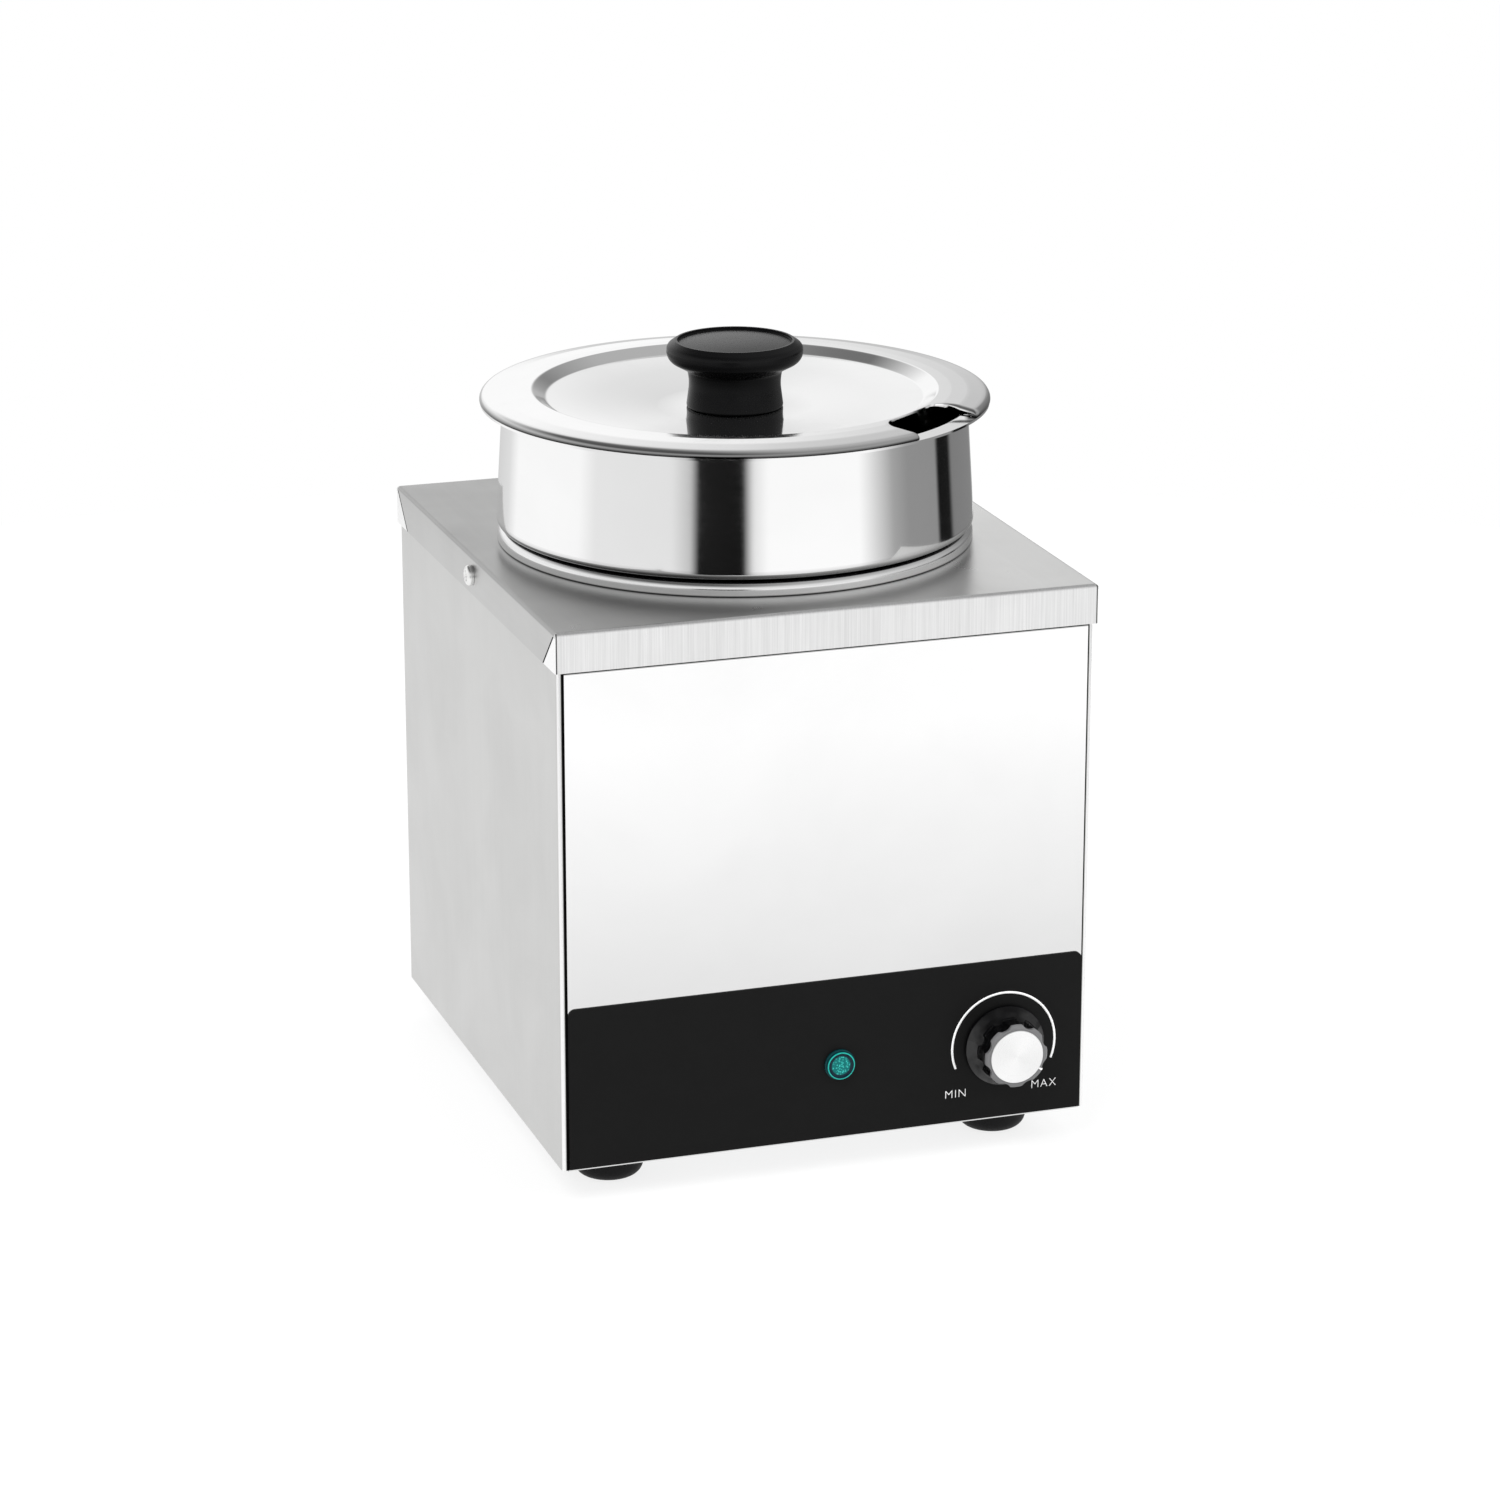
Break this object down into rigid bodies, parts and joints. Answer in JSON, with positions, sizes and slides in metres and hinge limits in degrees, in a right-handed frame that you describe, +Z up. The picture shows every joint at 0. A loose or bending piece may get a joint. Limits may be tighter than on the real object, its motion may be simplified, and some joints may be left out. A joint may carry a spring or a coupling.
{
  "type": "soup kettle",
  "caption": "Countertop electric soup kettle: a steel casing with control knob and pilot lamp holds a heated well, a lift-out pot and a notched lid with a mushroom knob.",
  "frame": {"origin": "on the floor, under the middle of the whole object's box", "axes": "+Z up, the controls face -Y, +X is to the right seen from the front"},
  "size_m": [0.2302, 0.285, 0.32],
  "materials": {
    "steel_brushed": "satin brushed stainless sheet",
    "steel_bright": "mirror polished stainless",
    "fascia_black": "satin black printed panel",
    "fixing_steel": "zinc plated",
    "base_steel": "galvanised sheet",
    "foot_rubber": "matt rubber",
    "knob_black": "moulded phenolic",
    "cap_aluminium": "spun face",
    "lens_green": "moulded translucent lens",
    "lamp_plastic": "moulded",
    "heat_aluminium": "cast",
    "element_sheath": "oxidised sheath",
    "switch_plastic": "moulded phenolic",
    "sensor_copper": "drawn copper",
    "block_ceramic": "glazed ceramic",
    "earth_brass": "turned brass",
    "gland_nylon": "moulded nylon",
    "wire_brown": "silicone sleeve",
    "wire_blue": "silicone sleeve",
    "wire_green": "silicone sleeve"
  },
  "bodies": {
    "casing": {"casing_wrapper": "steel_brushed", "top_cover": "steel_brushed", "front_panel": "steel_bright", "heating_well": "steel_bright", "control_fascia": "fascia_black", "cover_screws": "fixing_steel", "base_screws": "fixing_steel", "foot_screws": "fixing_steel", "foot_nuts": "fixing_steel", "thermostat_screws": "fixing_steel", "block_screws": "fixing_steel", "clamp_nut": "fixing_steel", "element_clamp": "fixing_steel", "bulb_clip": "fixing_steel", "lamp_clip": "fixing_steel", "base_plate": "base_steel", "feet": "foot_rubber", "lamp_lens": "lens_green", "lamp_body": "lamp_plastic", "heat_plate": "heat_aluminium", "heating_element": "element_sheath", "thermostat_body": "switch_plastic", "safety_cutout": "switch_plastic", "thermostat_sensor": "sensor_copper", "terminal_block": "block_ceramic", "earth_stud": "earth_brass", "earth_tag": "earth_brass", "earth_nut": "earth_brass", "gland_body": "gland_nylon", "gland_nut": "gland_nylon", "gland_locknut": "gland_nylon", "wire_supply": "wire_brown", "wire_switched": "wire_brown", "wire_element": "wire_brown", "wire_lamp_feed": "wire_brown", "wire_neutral": "wire_blue", "wire_lamp_return": "wire_blue", "wire_earth": "wire_green"},
    "pot": {"soup_pot": "steel_bright"},
    "lid": {"lid": "steel_bright", "lid_knob": "knob_black", "lid_knob_washer": "fixing_steel", "lid_knob_screw": "fixing_steel"},
    "knob": {"control_knob": "knob_black", "knob_cap": "cap_aluminium", "thermostat_shaft": "fixing_steel"}
  },
  "joints": [
    {"name": "pot_lift", "type": "slide", "parent": "casing", "child": "pot", "axis": [0, 0, 1], "range_m": [0, 0.2]},
    {"name": "lid_lift", "type": "slide", "parent": "pot", "child": "lid", "axis": [0, 0, 1], "range_m": [0, 0.08]},
    {"name": "knob_turn", "type": "hinge", "parent": "casing", "child": "knob", "pos_m": [0.0752, -0.1344, 0.0477], "axis": [0, -1, 0], "range_deg": [0, 240]}
  ]
}
